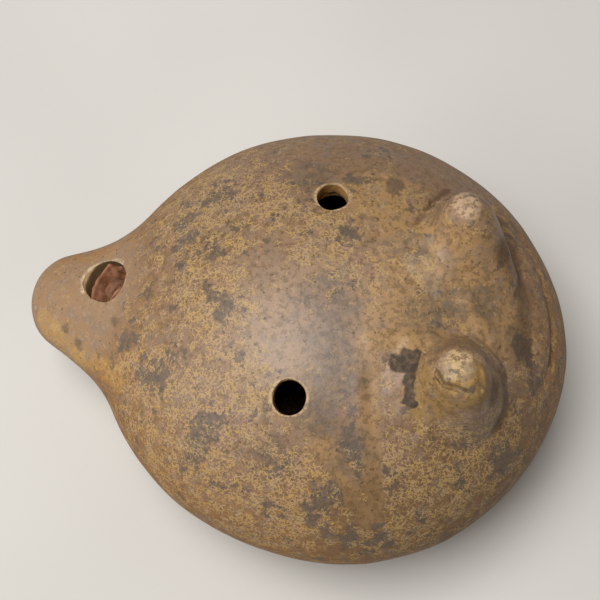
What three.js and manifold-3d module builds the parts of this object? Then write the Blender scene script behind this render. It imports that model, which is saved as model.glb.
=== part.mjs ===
// A hand-built vessel flute (ocarina) of burnished fired clay, lying on its belly.
// It has a round hollow body, a short beak-like mouthpiece with a voicing window, two finger
// holes on the back and two blunt knobs behind them.
// Frame: millimetres, +X from the mouthpiece tip to the rear, +Z up, origin under the middle.
// Every member that the potter makes by itself is a solid by itself, with a slip gap between them.
import * as THREE from "three";
import { mergeVertices, toCreasedNormals } from "three/addons/utils/BufferGeometryUtils.js";
import Module from "manifold-3d";

// ---- Driving dimensions -------------------------------------------------------------------
const LENGTH = 100; // tip of the mouthpiece to the rear of the body
const GAP = 0.3; // slip gap between members
const WALL = 3.5; // wall of the two halves
const MOUTH_WALL = 2.6; // wall of the mouthpiece
const EQUATOR_Z = 25.5; // widest level of the body above the resting patch
const BOWL_X = 8.5; // middle of the round body
const NECK_DROP = 2.5; // the mouthpiece's axis lies this much lower than the widest level

// Half-sizes along X: a nose arc, a flare that leaves it smoothly, and the arc of the bowl.
const PLAN = { r: 40.5, front: 44.5, noseLong: 8.3, noseR: 9, arcEnd: -45, flareEnd: -30 };
const DOME = { r: 28, front: 46, noseLong: 9, noseR: 7.6, arcEnd: -44, flareEnd: -12 };
const BELLY = { r: 27, front: 46, noseLong: 9, noseR: 7.6, arcEnd: -44, flareEnd: -14 };

// The joint between the two halves: a plane over the widest level, a little higher at the rear.
const SEAM = { rise: 10.6, slopeX: 0.1, slopeY: 0.08 };
const NECK_X = -27; // the plane where the mouthpiece meets the two halves
const COIL = { thick: 2.4, high: 4.4, frontX: -23.5 }; // inside, along the joint of the halves
const NECK_COIL = { thick: 2.4, fromX: -29.2, toX: -24.6 }; // inside, round the neck's joint
// The strip of clay pressed over the joint at the rear, from one heading to another (degrees).
const STRIP = { below: 2.1, above: 3.2, proud: 0.6, deep: 1, from: -14, to: 44 };

const FINGER_HOLE_R = 2.8;
const FINGER_HOLES = [
  { x: 3.9, y: 17.8, lean: [0, 0.17, 0.985] },
  { x: 2.6, y: -18.5, lean: [-0.08, -0.25, 0.965] },
];

const WINDOW = { x: -34.9, y: 1.5, long: 10.4, wide: 8.2, skew: -18 }; // skew in degrees
const BORE_X = -43; // front end of the mouthpiece's bore
const WINDWAY = { wide: 6.4, high: 1.5, rise: 30 }; // rise in degrees towards the window
const BLOCK_END_X = -31.4;

const KNOB = { baseR: 7.6, high: 11.5, root: 7 };
const KNOB_COIL = { ring: 7.9, thick: 1.7 };
const KNOBS = {
  far: { x: 28, y: 13.3, tipR: 4.3, lean: [-0.15, 0.36, 0.92] },
  near: { x: 29.2, y: -10.9, tipR: 4.9, lean: [0, -0.12, 0.99] },
};

// ---- Solids from meshes ---------------------------------------------------------------------
const wasm = await Module();
wasm.setup();

function solid(geometry) {
  const flat = geometry.index ? geometry.toNonIndexed() : geometry;
  const bare = new THREE.BufferGeometry().setAttribute("position", flat.getAttribute("position"));
  const merged = mergeVertices(bare, 1e-4);
  return new wasm.Manifold(new wasm.Mesh({
    numProp: 3,
    vertProperties: merged.attributes.position.array,
    triVerts: new Uint32Array(merged.index.array),
  }));
}

const group = new THREE.Group();
group.name = "ocarina";

function node(name, body, color, roughness) {
  const cut = body.getMesh();
  const geometry = new THREE.BufferGeometry()
    .setAttribute("position", new THREE.BufferAttribute(cut.vertProperties, 3))
    .setIndex(new THREE.BufferAttribute(cut.triVerts, 1));
  const material = new THREE.MeshStandardMaterial({ color, roughness });
  const mesh = new THREE.Mesh(toCreasedNormals(geometry, Math.PI / 5), material);
  mesh.name = name;
  group.add(mesh);
}

// ---- The body's surface -----------------------------------------------------------------------
const ease = (t) => t * t * (3 - 2 * t);
const clamp01 = (t) => Math.min(1, Math.max(0, t));
const arc = (t) => Math.sqrt(Math.max(0, 1 - t * t));

// Half-size at x: nose arc, cubic flare and bowl arc, joined with equal slopes.
function halfSize(x, p) {
  const noseX = p.noseLong - LENGTH / 2;
  const rear = LENGTH / 2 - BOWL_X;
  if (x >= BOWL_X) return p.r * arc((x - BOWL_X) / rear);
  if (x >= p.flareEnd) return p.r * arc((x - BOWL_X) / p.front);
  if (x <= p.arcEnd) return p.noseR * arc((x - noseX) / p.noseLong);
  const y1 = p.noseR * arc((p.arcEnd - noseX) / p.noseLong);
  const m1 = -((p.noseR / p.noseLong) ** 2) * (p.arcEnd - noseX) / y1;
  const y2 = p.r * arc((p.flareEnd - BOWL_X) / p.front);
  const m2 = -((p.r / p.front) ** 2) * (p.flareEnd - BOWL_X) / y2;
  const span = p.flareEnd - p.arcEnd;
  const t = (x - p.arcEnd) / span;
  return (2 * t ** 3 - 3 * t ** 2 + 1) * y1 + (t ** 3 - 2 * t ** 2 + t) * span * m1
    + (3 * t ** 2 - 2 * t ** 3) * y2 + (t ** 3 - t ** 2) * span * m2;
}

// A point of the outside. station runs 0 to pi from tip to rear, turn goes round the X axis.
function bodyPoint(station, turn) {
  const x = (-LENGTH / 2) * Math.cos(station);
  const up = Math.sin(turn);
  const drop = NECK_DROP * (1 - ease(clamp01((x + 44) / 39)));
  return new THREE.Vector3(
    x,
    halfSize(x, PLAN) * Math.cos(turn),
    EQUATOR_Z - drop + halfSize(x, up > 0 ? DOME : BELLY) * up,
  );
}

function bodyNormal(station, turn) {
  const step = 1e-3;
  const a = Math.min(Math.PI - 2 * step, Math.max(2 * step, station));
  const along = bodyPoint(a + step, turn).sub(bodyPoint(a - step, turn));
  const round = bodyPoint(a, turn + step).sub(bodyPoint(a, turn - step));
  return round.cross(along).normalize();
}

// The closed body surface, moved inwards by inset.
function bodySolid(inset, stations = 40, turns = 40) {
  const at = (i, j) => {
    const station = (Math.PI * i) / stations;
    const turn = (2 * Math.PI * j) / turns;
    return bodyPoint(station, turn).addScaledVector(bodyNormal(station, turn), -inset);
  };
  const points = [new THREE.Vector3(-LENGTH / 2 + inset, 0, EQUATOR_Z - NECK_DROP)];
  for (let i = 1; i < stations; i++) for (let j = 0; j < turns; j++) points.push(at(i, j));
  points.push(new THREE.Vector3(LENGTH / 2 - inset, 0, EQUATOR_Z));
  const ring = (i, j) => 1 + (i - 1) * turns + (j % turns);
  const index = [];
  for (let j = 0; j < turns; j++) {
    index.push(0, ring(1, j + 1), ring(1, j));
    index.push(points.length - 1, ring(stations - 1, j), ring(stations - 1, j + 1));
    for (let i = 1; i < stations - 1; i++) {
      index.push(ring(i, j), ring(i, j + 1), ring(i + 1, j));
      index.push(ring(i + 1, j), ring(i, j + 1), ring(i + 1, j + 1));
    }
  }
  return solid(new THREE.BufferGeometry().setFromPoints(points).setIndex(index));
}

// The outside point and normal over a place given in plan.
function over(x, y) {
  const station = Math.acos((-2 * x) / LENGTH);
  const turn = Math.acos(y / halfSize(x, PLAN));
  return { point: bodyPoint(station, turn), normal: bodyNormal(station, turn) };
}

// ---- Cutting shapes -----------------------------------------------------------------------------
const Z = new THREE.Vector3(0, 0, 1);
const Y = new THREE.Vector3(0, 1, 0);

// Everything on the side of a plane that its normal points to.
function beyond(point, normal) {
  const box = new THREE.BoxGeometry(300, 300, 150).translate(0, 0, 75);
  const turn = new THREE.Quaternion().setFromUnitVectors(Z, normal.clone().normalize());
  return solid(box.applyQuaternion(turn).translate(point.x, point.y, point.z));
}

const seamNormal = new THREE.Vector3(-SEAM.slopeX, -SEAM.slopeY, 1).normalize();
const seamPoint = new THREE.Vector3(BOWL_X, 0, EQUATOR_Z + SEAM.rise);
const aboveSeam = (by) => beyond(seamPoint.clone().addScaledVector(seamNormal, by), seamNormal);
const belowSeam = (by) =>
  beyond(seamPoint.clone().addScaledVector(seamNormal, by), seamNormal.clone().negate());
const behind = (x) => beyond(new THREE.Vector3(x, 0, 0), new THREE.Vector3(1, 0, 0));
const before = (x) => beyond(new THREE.Vector3(x, 0, 0), new THREE.Vector3(-1, 0, 0));

// A layer of the wall between two insets; a negative one lies outside the surface.
const layer = (from, to) => bodySolid(from, 32, 32).subtract(bodySolid(to, 32, 32));

// ---- Shells, strip and inner coils --------------------------------------------------------------
const outside = bodySolid(0).subtract(beyond(new THREE.Vector3(), Z.clone().negate()));
const chamber = bodySolid(WALL, 34, 36);

function stripSolid(grow) {
  const middle = new THREE.Vector3(BOWL_X, 0, 0);
  const heading = (deg, side) => {
    const a = THREE.MathUtils.degToRad(deg);
    const across = new THREE.Vector3(-Math.sin(a), Math.cos(a), 0).multiplyScalar(side);
    return beyond(middle.clone().addScaledVector(across, -grow), across);
  };
  return layer(-STRIP.proud - grow, STRIP.deep + grow)
    .intersect(aboveSeam(-STRIP.below - grow)).intersect(belowSeam(STRIP.above + grow))
    .intersect(heading(STRIP.from, 1)).intersect(heading(STRIP.to, -1));
}

const halves = outside.subtract(chamber).subtract(stripSolid(GAP))
  .intersect(behind(NECK_X + GAP / 2));

let upper = halves.intersect(aboveSeam(GAP / 2));
for (const { x, y, lean } of FINGER_HOLES) {
  const { point } = over(x, y);
  const axis = new THREE.Vector3(...lean).normalize();
  const drill = new THREE.CylinderGeometry(FINGER_HOLE_R, FINGER_HOLE_R, 24, 28)
    .applyQuaternion(new THREE.Quaternion().setFromUnitVectors(Y, axis))
    .translate(point.x, point.y, point.z);
  upper = upper.subtract(solid(drill));
}
node("upper_shell", upper, 0x96734f, 0.62);
node("lower_shell", halves.intersect(belowSeam(-GAP / 2)), 0x8d6b49, 0.65);
node("rear_seam_strip", stripSolid(0), 0x8a6a4a, 0.7);

const seamCoil = layer(WALL + GAP, WALL + GAP + COIL.thick)
  .intersect(aboveSeam(-COIL.high / 2)).intersect(belowSeam(COIL.high / 2))
  .intersect(behind(COIL.frontX));
node("inner_seam_coil", seamCoil, 0x8b6446, 0.9);

const neckCoil = layer(WALL + GAP, WALL + GAP + NECK_COIL.thick)
  .intersect(behind(NECK_COIL.fromX)).intersect(before(NECK_COIL.toX));
node("inner_neck_coil", neckCoil, 0x8b6446, 0.9);

// ---- Mouthpiece and windway block -----------------------------------------------------------------
const window_ = over(WINDOW.x, WINDOW.y);
const bore = bodySolid(MOUTH_WALL, 34, 36).intersect(behind(BORE_X));
const windwayTilt = new THREE.Quaternion().setFromAxisAngle(
  Y, -THREE.MathUtils.degToRad(WINDWAY.rise));
const roof = over(BORE_X, 0).point.z - MOUTH_WALL / Math.cos(THREE.MathUtils.degToRad(WINDWAY.rise));

// The flat air passage: it runs from the tip, under the roof of the bore, to the window.
function windway(fromX, toX, deep) {
  const box = new THREE.BoxGeometry(toX - fromX, WINDWAY.wide, WINDWAY.high + deep)
    .translate((fromX + toX) / 2 - BORE_X, 0, deep / 2 - WINDWAY.high / 2)
    .applyQuaternion(windwayTilt)
    .translate(BORE_X, WINDOW.y / 2, roof);
  return solid(box);
}

const across = new THREE.Vector3(0, 1, 0).cross(window_.normal).normalize();
const sill = new THREE.CylinderGeometry(0.5, 0.5, 9, 32)
  .scale(WINDOW.long, 1, WINDOW.wide)
  .rotateY(THREE.MathUtils.degToRad(WINDOW.skew))
  .applyMatrix4(new THREE.Matrix4().makeBasis(
    across, window_.normal, across.clone().cross(window_.normal)))
  .translate(window_.point.x, window_.point.y, window_.point.z);
const mouthpiece = outside.intersect(before(NECK_X - GAP / 2))
  .subtract(bore).subtract(windway(-56, -40, 0)).subtract(solid(sill));
node("mouthpiece", mouthpiece, 0x9a764f, 0.6);

const block = bodySolid(MOUTH_WALL + GAP, 34, 36)
  .intersect(behind(BORE_X + GAP)).intersect(before(BLOCK_END_X))
  .subtract(windway(-46, -26, 6));
node("windway_block", block, 0x7d4435, 0.45);

// ---- Knobs and the coils that lute them on ------------------------------------------------------
function knobSolid(place, grow) {
  const path = new THREE.Path()
    .moveTo(0, -KNOB.root).lineTo(KNOB.baseR + 0.6 + grow, -KNOB.root)
    .bezierCurveTo(KNOB.baseR + grow, 0, place.tipR + 1.5 + grow, KNOB.high * 0.45,
      place.tipR + grow, KNOB.high * 0.7)
    .bezierCurveTo(place.tipR * 0.85 + grow, KNOB.high * 0.9 + grow, place.tipR * 0.55,
      KNOB.high + grow, 0, KNOB.high + grow);
  const { point } = over(place.x, place.y);
  const axis = new THREE.Vector3(...place.lean).normalize();
  const turned = new THREE.LatheGeometry(path.getPoints(6), 24)
    .applyQuaternion(new THREE.Quaternion().setFromUnitVectors(Y, axis))
    .translate(point.x, point.y, point.z);
  return solid(turned);
}

const luted = bodySolid(-GAP);
for (const [name, place] of Object.entries(KNOBS)) {
  node("knob_" + name, knobSolid(place, 0).subtract(luted), 0xa5834f, 0.55);
  const { point, normal } = over(place.x, place.y);
  const ring = new THREE.TorusGeometry(KNOB_COIL.ring, KNOB_COIL.thick, 10, 28)
    .applyQuaternion(new THREE.Quaternion().setFromUnitVectors(Z, normal))
    .translate(point.x, point.y, point.z);
  const coil = solid(ring).subtract(luted).subtract(knobSolid(place, GAP));
  node("knob_" + name + "_coil", coil, 0x92714a, 0.65);
}

export default group;
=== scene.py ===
# A burnished clay vessel flute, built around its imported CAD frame.
# Lengths are in millimetres and are turned into metres when a mesh is made.
import bpy
import numpy as np
from mathutils import Matrix, Quaternion, Vector


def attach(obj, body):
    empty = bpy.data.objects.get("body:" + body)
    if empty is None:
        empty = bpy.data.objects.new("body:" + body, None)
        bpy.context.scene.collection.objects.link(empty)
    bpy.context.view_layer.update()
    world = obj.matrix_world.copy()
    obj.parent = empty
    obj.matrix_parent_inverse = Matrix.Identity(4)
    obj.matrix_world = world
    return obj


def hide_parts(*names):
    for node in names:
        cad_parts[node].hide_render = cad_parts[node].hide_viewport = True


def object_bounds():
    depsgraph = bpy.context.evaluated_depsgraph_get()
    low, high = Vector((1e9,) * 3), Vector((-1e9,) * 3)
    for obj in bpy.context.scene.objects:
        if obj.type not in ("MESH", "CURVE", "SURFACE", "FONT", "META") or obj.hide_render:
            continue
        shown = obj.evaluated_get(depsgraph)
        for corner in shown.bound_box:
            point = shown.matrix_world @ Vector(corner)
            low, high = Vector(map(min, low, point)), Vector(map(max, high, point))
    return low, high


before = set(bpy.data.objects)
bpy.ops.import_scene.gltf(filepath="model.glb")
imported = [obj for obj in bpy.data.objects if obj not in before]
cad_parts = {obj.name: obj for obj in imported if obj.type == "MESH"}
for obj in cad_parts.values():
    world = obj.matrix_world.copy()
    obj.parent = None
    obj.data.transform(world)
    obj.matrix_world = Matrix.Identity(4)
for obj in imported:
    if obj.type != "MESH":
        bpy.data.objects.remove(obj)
cad_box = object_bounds()

# ---- Driving dimensions, as in the CAD model ----------------------------------------------
LENGTH = 100
MM = round((cad_box[1][0] - cad_box[0][0]) / LENGTH, 5)  # metres in one unit
WALL = 3.5
MOUTH_WALL = 2.6
EQUATOR_Z = 25.5
BOWL_X = 8.5
NECK_DROP = 2.5  # how far the mouthpiece's middle lies below the bowl's
# Half-sizes along X, in plan, upwards and downwards: the bowl's radius r and its length towards
# the tip, the nose's length and radius, and the X at which the nose arc and the flare end.
PLAN = dict(r=40.5, front=44.5, nose_long=8.3, nose_r=9, arc_end=-45, flare_end=-30)
DOME = dict(r=28, front=46, nose_long=9, nose_r=7.6, arc_end=-44, flare_end=-12)
BELLY = dict(r=27, front=46, nose_long=9, nose_r=7.6, arc_end=-44, flare_end=-14)
SEAM_RISE = 10.6  # the joint's plane over the widest level, at the bowl's middle
SEAM_SLOPE = (0.1, 0.08)
NECK_X = -27
STRIP = dict(below=2.1, above=3.2, start=-14, end=44)  # headings in degrees
HOLE_R = 2.8
HOLES = [
    dict(name="far", x=3.9, y=17.8, lean=(0, 0.17, 0.985), seed=11),
    dict(name="near", x=2.6, y=-18.5, lean=(-0.08, -0.25, 0.965), seed=17),
]
WINDOW = dict(x=-34.9, y=1.5, long=10.4, wide=8.2, skew=-18)
BORE_X = -43
SLIT_FROM_X, SLIT_TO_X = -56, -40
BLOCK_END_X = -30.4  # 1 mm past its end in the CAD model, out of sight
WINDWAY = dict(wide=6.4, high=1.5, rise=30)
KNOBS = {
    "far": dict(x=28, y=13.3, lean=(-0.15, 0.36, 0.92), tip=4.5, slope=3, soft=1, skirt=(-0.6, -0.8)),
    "near": dict(x=29.2, y=-10.9, lean=(0, -0.12, 0.99), tip=5, slope=2.7, soft=2.2, skirt=(-0.8, -0.6)),
}
KNOB_R = 7.6
KNOB_HIGH = 11.5
KNOB_REACH = (10, 14)  # radius of the smeared clay behind and before a knob
KNOB_MOUND = (0.3, 2.1)  # its height behind and before a knob
SKIRT_SOFT = 4.8  # softness of the join before a knob; each knob has its own behind it
KNOB_TUCK = 0.4  # how far a knob and its fillet reach below the skin
# Points of the near knob's crease: height over its foot, and aside in plan.
NEAR_FOLD = [(9.6, -3.9, -0.6), (9.9, -2.6, -2.6), (10.4, -0.6, -2.7), (10.2, 1, -3.1)]


# ---- Numbers -------------------------------------------------------------------------------
HALVINGS = 40  # steps of a search by halving


def ease(t):
    t = np.clip(t, 0, 1)
    return t * t * (3 - 2 * t)


def unit(v):
    v = np.asarray(v, float)
    return v / np.linalg.norm(v, axis=-1, keepdims=True)


def lattice(i, seed):
    """A fixed number from -1 to 1 for each whole-number point."""
    h = (i[..., 0] * 374761393 + i[..., 1] * 668265263 + i[..., 2] * 362437 + seed * 974711) & 0xFFFFFFFF
    h = ((h ^ (h >> 13)) * 1274126177) & 0xFFFFFFFF
    h = ((h ^ (h >> 15)) * 2246822519) & 0xFFFFFFFF
    return ((h ^ (h >> 16)) & 0xFFFF) / 32767.5 - 1


def noise(p, size, seed):
    """Smooth noise from -1 to 1 with bumps of about the given size."""
    q = np.asarray(p, float) / size
    low = np.floor(q).astype(np.int64)
    t = q - low
    t = t * t * t * (t * (6 * t - 15) + 10)
    total = 0
    for corner in np.ndindex(2, 2, 2):
        weight = np.prod(np.where(np.array(corner) == 1, t, 1 - t), axis=-1)
        total = total + weight * lattice(low + np.array(corner), seed)
    return total


def to_segment(p, a, b):
    """Distance from points to a line segment."""
    a, b = np.asarray(a, float), np.asarray(b, float)
    along = np.clip(((p - a) @ (b - a)) / ((b - a) @ (b - a)), 0, 1)
    return np.linalg.norm(p - a - along[..., None] * (b - a), axis=-1)


def pairs(points):
    """Each point of a chain with the next one."""
    return list(zip(points[:-1], points[1:]))


# ---- The body's surface --------------------------------------------------------------------
def arc(t):
    return np.sqrt(np.clip(1 - t * t, 0, None))


def half_size(x, p):
    """Half-size at x: nose arc, cubic flare and bowl arc, joined with equal slopes."""
    nose_x = p["nose_long"] - LENGTH / 2
    y1 = p["nose_r"] * arc((p["arc_end"] - nose_x) / p["nose_long"])
    m1 = -((p["nose_r"] / p["nose_long"]) ** 2) * (p["arc_end"] - nose_x) / y1
    y2 = p["r"] * arc((p["flare_end"] - BOWL_X) / p["front"])
    m2 = -((p["r"] / p["front"]) ** 2) * (p["flare_end"] - BOWL_X) / y2
    span = p["flare_end"] - p["arc_end"]
    t = (x - p["arc_end"]) / span
    flare = ((2 * t**3 - 3 * t**2 + 1) * y1 + (t**3 - 2 * t**2 + t) * span * m1
             + (3 * t**2 - 2 * t**3) * y2 + (t**3 - t**2) * span * m2)
    bowl = p["r"] * arc((x - BOWL_X) / np.where(x >= BOWL_X, LENGTH / 2 - BOWL_X, p["front"]))
    nose = p["nose_r"] * arc((x - nose_x) / p["nose_long"])
    return np.where(x >= p["flare_end"], bowl, np.where(x <= p["arc_end"], nose, flare))


def middle_z(x):
    return EQUATOR_Z - NECK_DROP * (1 - ease((x + 44) / 39))


def body_point(station, turn):
    """station runs 0 to pi from tip to rear, turn goes round the X axis."""
    x = -LENGTH / 2 * np.cos(station)
    up = np.sin(turn)
    high = np.where(up > 0, half_size(x, DOME), half_size(x, BELLY))
    return np.stack([x, half_size(x, PLAN) * np.cos(turn), middle_z(x) + high * up], -1)


def body_normal(station, turn):
    step = 1e-3
    a = np.clip(station, 2 * step, np.pi - 2 * step)
    along = body_point(a + step, turn) - body_point(a - step, turn)
    around = body_point(a, turn + step) - body_point(a, turn - step)
    return unit(np.cross(around, along))


def over(x, y):
    """The outside points and normals over places given in plan."""
    station = np.arccos(-2 * x / LENGTH)
    turn = np.arccos(np.clip(y / np.maximum(half_size(x, PLAN), 1e-6), -1, 1))
    return body_point(station, turn), body_normal(station, turn)


SEAM_NORMAL = unit([-SEAM_SLOPE[0], -SEAM_SLOPE[1], 1])
SEAM_POINT = np.array([BOWL_X, 0, EQUATOR_Z + SEAM_RISE])


def seam_place(p):
    """Heading about the bowl's middle in degrees, and height over the joint's plane."""
    return np.degrees(np.arctan2(p[..., 1], p[..., 0] - BOWL_X)), (p - SEAM_POINT) @ SEAM_NORMAL


# ---- Hand work on the surface ----------------------------------------------------------------
# Strokes on the back, by plan position: start, end, half-width, and height or depth.
STROKES = [
    ((10.4, -23.9), (18.3, -34.3), 1.8, -0.3),
    ((15.2, -13.7), (19.8, -31.1), 1.3, -0.22),
    ((13.2, -14.5), (17.2, -30.5), 1.2, 0.2),
    ((14.1, -7.4), (23.8, -4.4), 1.0, 0.4),
    ((29.9, 1.8), (34, -2.2), 2.2, 0.6),
    ((20.5, -6.2), (25, -5), 1.3, 0.35),
    ((12.2, 10.6), (13, 12.2), 0.4, -0.4),
    ((18.6, 14.5), (21.2, 21), 0.5, -0.45),
    ((21.2, 21), (23.6, 24.6), 0.5, -0.35),
    ((31.6, -3.4), (37, -6.4), 0.55, 0.65),
    ((31.4, -4.6), (36, -7.4), 0.6, -0.6),
    ((32.6, 24.2), (34.8, 19.4), 1.4, -0.5),
    ((34.8, 19.4), (37.2, 12.4), 1.5, -0.5),
]
# Broad swellings of the outside: middle, half-width and height.
SWELLS = [((-44, 8, 24), 7, 0.65), ((-38, -9, 22), 9, 0.5), ((49, 6, 27), 13, 0.55)]


def strip_edges(heading):
    """Lower and upper edge of the rear strip, and how full the strip is, at a heading."""
    full = ease((heading - STRIP["start"]) / 14) * ease((STRIP["end"] - heading) / 14)
    middle = (STRIP["above"] - STRIP["below"]) / 2
    half = (STRIP["above"] + STRIP["below"]) / 2 * np.maximum(full, 0.004) ** 0.4
    return middle - half, middle + half, full


def broad_relief(p):
    return 0.3 * noise(p, 26, 1) + 0.15 * noise(p, 9, 2)


def relief(p):
    """How far the hand-made surface stands off the smooth one."""
    high = broad_relief(p) + 0.045 * noise(p, 3.4, 3)
    for middle, width, height in SWELLS:
        away = np.linalg.norm(p - np.array(middle), axis=-1)
        high = high + height * np.exp(-((away / width) ** 2))
    for start, end, width, depth in STROKES:
        a, b = (over(*np.array(q, float))[0] for q in (start, end))
        away = to_segment(p, a, b)
        high = high + depth * np.exp(-((away / width) ** 2)) * (1 + 0.4 * noise(p, 2.5, 5))
    heading, s = seam_place(p)
    low, top, full = strip_edges(heading)
    ragged = 0.2 * noise(p, 4, 6)
    below = 0.45 * ease(1 - (low - s + ragged) / 1.5)
    above = 0.5 * ease(1 - (s - top + ragged) / 2.6)
    return high - np.where(p[..., 2] > EQUATOR_Z - 4, full**0.5 * np.minimum(below, above), 0)


def worked(p, n):
    return p + relief(p)[..., None] * n


# ---- The window and the lump of clay behind it -------------------------------------------------
BLOCK_TOP = -2.15  # its mean level, measured from the outside surface
BLOCK_DEEP = 14  # reaches below the bore's floor, to which the lump is trimmed
RIDGE = [(-3.3, -3.0), (-3.7, -0.5), (-3.3, 1.1), (-2.3, 3.0), (-1.4, 4.0)]
SMALL_RIDGE = [(1.2, -3.6), (2.0, -2.1), (3.1, -0.9)]
BLOCK_FOLDS = [  # points along each fold in the window's plane, half-width, height or depth
    (RIDGE, 0.42, 1.0),
    (SMALL_RIDGE, 0.5, 0.7),
    ([(-6.0, -1.0), (-6.3, 1.3), (-5.4, 3.0), (-4.2, 4.4)], 1.0, -1.3),
    ([(-2.3, 1.6), (-2.0, 0.2), (-1.2, -2.8)], 0.5, -1.3),
    ([(-0.9, -1.6), (0.2, 0.8), (0.7, 2.6)], 0.5, 0.65),
    ([(1.1, 3.3), (1.7, 2.1)], 0.7, -1.3),
    ([(0.3, -3.0), (1.3, -0.6), (2.5, 1.0)], 0.45, -1.1),
    ([(3.2, 0.6), (2.9, 2.4)], 0.5, -0.8),
]


def plane_basis(place):
    p, n = over(np.float64(place["x"]), np.float64(place["y"]))
    e1 = unit(np.cross([0, 1, 0], n))
    return p, n, e1, np.cross(n, e1)


def in_window(place, level=BLOCK_TOP + 1):
    """A point over a place in the window's plane."""
    p, n, e1, e2 = plane_basis(WINDOW)
    return p + level * n + place[0] * e1 + place[1] * e2


# ---- Meshes and cuts -------------------------------------------------------------------------
BOX_FACES = [(0, 2, 3, 1), (4, 5, 7, 6), (0, 1, 5, 4), (2, 6, 7, 3), (0, 4, 6, 2), (1, 3, 7, 5)]
TOOL_HALF = 150  # larger than the whole flute
SHARP_DEGREES = 32


def mesh_object(name, points, faces, material):
    mesh = bpy.data.meshes.new(name)
    mesh.from_pydata((np.asarray(points) * MM).tolist(), [], [tuple(map(int, f)) for f in faces])
    mesh.materials.append(material)
    mesh.update()
    piece = bpy.data.objects.new(name, mesh)
    bpy.context.scene.collection.objects.link(piece)
    return piece


def wrapped(rows, columns, first, last):
    """Faces of a closed skin: rings of points between two end points."""
    i, j = np.meshgrid(np.arange(rows - 1), np.arange(columns), indexing="ij")
    k = (j + 1) % columns
    here, below = i * columns, (i + 1) * columns
    faces = np.stack([here + j, here + k, below + k, below + j], -1).reshape(-1, 4).tolist()
    for c in range(columns):
        d = (c + 1) % columns
        faces.append((first, d, c))
        faces.append((last, (rows - 1) * columns + c, (rows - 1) * columns + d))
    return faces


def skin(name, rings, first, last, material):
    """A closed skin from an array of rings, rows by columns, and its two end points."""
    rows, columns = rings.shape[:2]
    points = np.vstack([rings.reshape(-1, 3), [first, last]])
    faces = wrapped(rows, columns, len(points) - 2, len(points) - 1)
    return mesh_object(name, points, faces, material)


def ring_skin(name, rings, material):
    """A closed ring: rows close on themselves as well as columns."""
    rows, columns = rings.shape[:2]
    i, j = np.meshgrid(np.arange(rows), np.arange(columns), indexing="ij")
    ni, nj = (i + 1) % rows, (j + 1) % columns
    quads = np.stack([i * columns + j, i * columns + nj, ni * columns + nj, ni * columns + j], -1)
    return mesh_object(name, rings.reshape(-1, 3), quads.reshape(-1, 4), material)


def body(name, inset, stations, turns, material, hand_made):
    """The body's closed surface moved inwards by inset."""
    i, j = np.meshgrid(np.arange(1, stations), np.arange(turns), indexing="ij")
    station, turn = np.pi * i / stations, 2 * np.pi * j / turns
    p, n = body_point(station, turn), body_normal(station, turn)
    rings = (worked(p, n) if hand_made else p) - inset * n
    ends = [np.array([side * LENGTH / 2, 0, middle_z(side * LENGTH / 2)]) for side in (-1, 1)]
    if hand_made:
        ends = [e + relief(e) * np.array([side, 0, 0]) for e, side in zip(ends, (-1, 1))]
    ends = [e - inset * np.array([side, 0, 0]) for e, side in zip(ends, (-1, 1))]
    return skin(name, rings, *ends, material)


def box_tool(name, point, normal, material):
    """Everything on the side of a plane that its normal points to."""
    turn = Vector(normal).to_track_quat("Z", "Y").to_matrix()
    sides = (-TOOL_HALF, TOOL_HALF)
    corners = [(x, y, z) for z in (0, TOOL_HALF) for y in sides for x in sides]
    points = np.array([turn @ Vector(c) for c in corners]) + np.asarray(point, float)
    return mesh_object(name, points, BOX_FACES, material)


def cut(piece, tool, operation):
    """Cuts a piece in place; cut faces keep the tool's material."""
    modifier = piece.modifiers.new("cut", "BOOLEAN")
    modifier.operation = operation
    modifier.object = tool
    modifier.solver = "MANIFOLD"
    modifier.material_mode = "TRANSFER"
    bpy.context.view_layer.update()
    done = piece.evaluated_get(bpy.context.evaluated_depsgraph_get())
    mesh = bpy.data.meshes.new_from_object(done)
    piece.modifiers.clear()
    old = piece.data
    piece.data = mesh
    bpy.data.meshes.remove(old)
    return piece


def copy_of(piece, name):
    twin = bpy.data.objects.new(name, piece.data.copy())
    bpy.context.scene.collection.objects.link(twin)
    return twin


def discard(*pieces):
    for piece in pieces:
        bpy.data.objects.remove(piece)


def smooth(piece):
    piece.data.shade_smooth()
    piece.data.set_sharp_from_angle(angle=np.radians(SHARP_DEGREES))


# ---- Materials -------------------------------------------------------------------------------
def srgb(r, g, b):
    """Linear colour from the usual 0 to 255 values."""
    c = np.array([r, g, b]) / 255
    return (*np.where(c <= 0.04045, c / 12.92, ((c + 0.055) / 1.055) ** 2.4), 1)


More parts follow.
